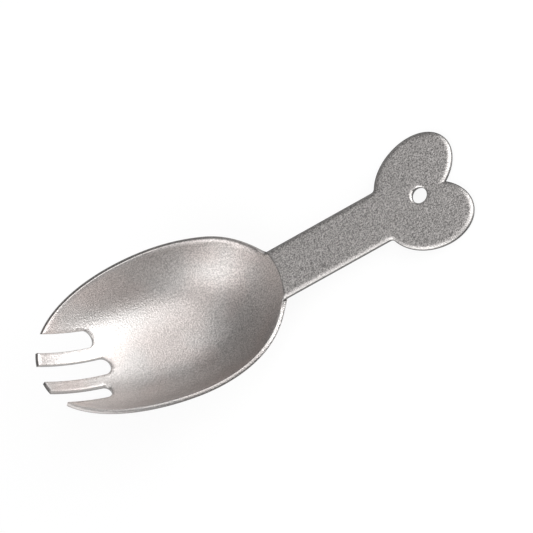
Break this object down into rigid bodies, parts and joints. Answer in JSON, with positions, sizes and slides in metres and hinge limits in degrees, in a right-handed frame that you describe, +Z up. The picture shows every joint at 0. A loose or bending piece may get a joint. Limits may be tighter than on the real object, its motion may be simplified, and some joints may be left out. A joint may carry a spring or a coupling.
{
  "type": "spork",
  "caption": "One-piece pressed titanium spork: egg-shaped bowl with slotted tines, a flat handle bent up from the rim and a two-lobed end with a hang hole.",
  "frame": {"origin": "centre of the part's footprint, on the surface that it rests on", "axes": "+X from the tines towards the lobed end, +Z up, with the part lying on the underside of its bowl and of both lobes"},
  "size_m": [0.1108, 0.0416, 0.0305],
  "materials": {
    "titanium": "bead-blasted titanium with polished edges"
  },
  "bodies": {
    "root": {"spork": "titanium"}
  },
  "joints": []
}
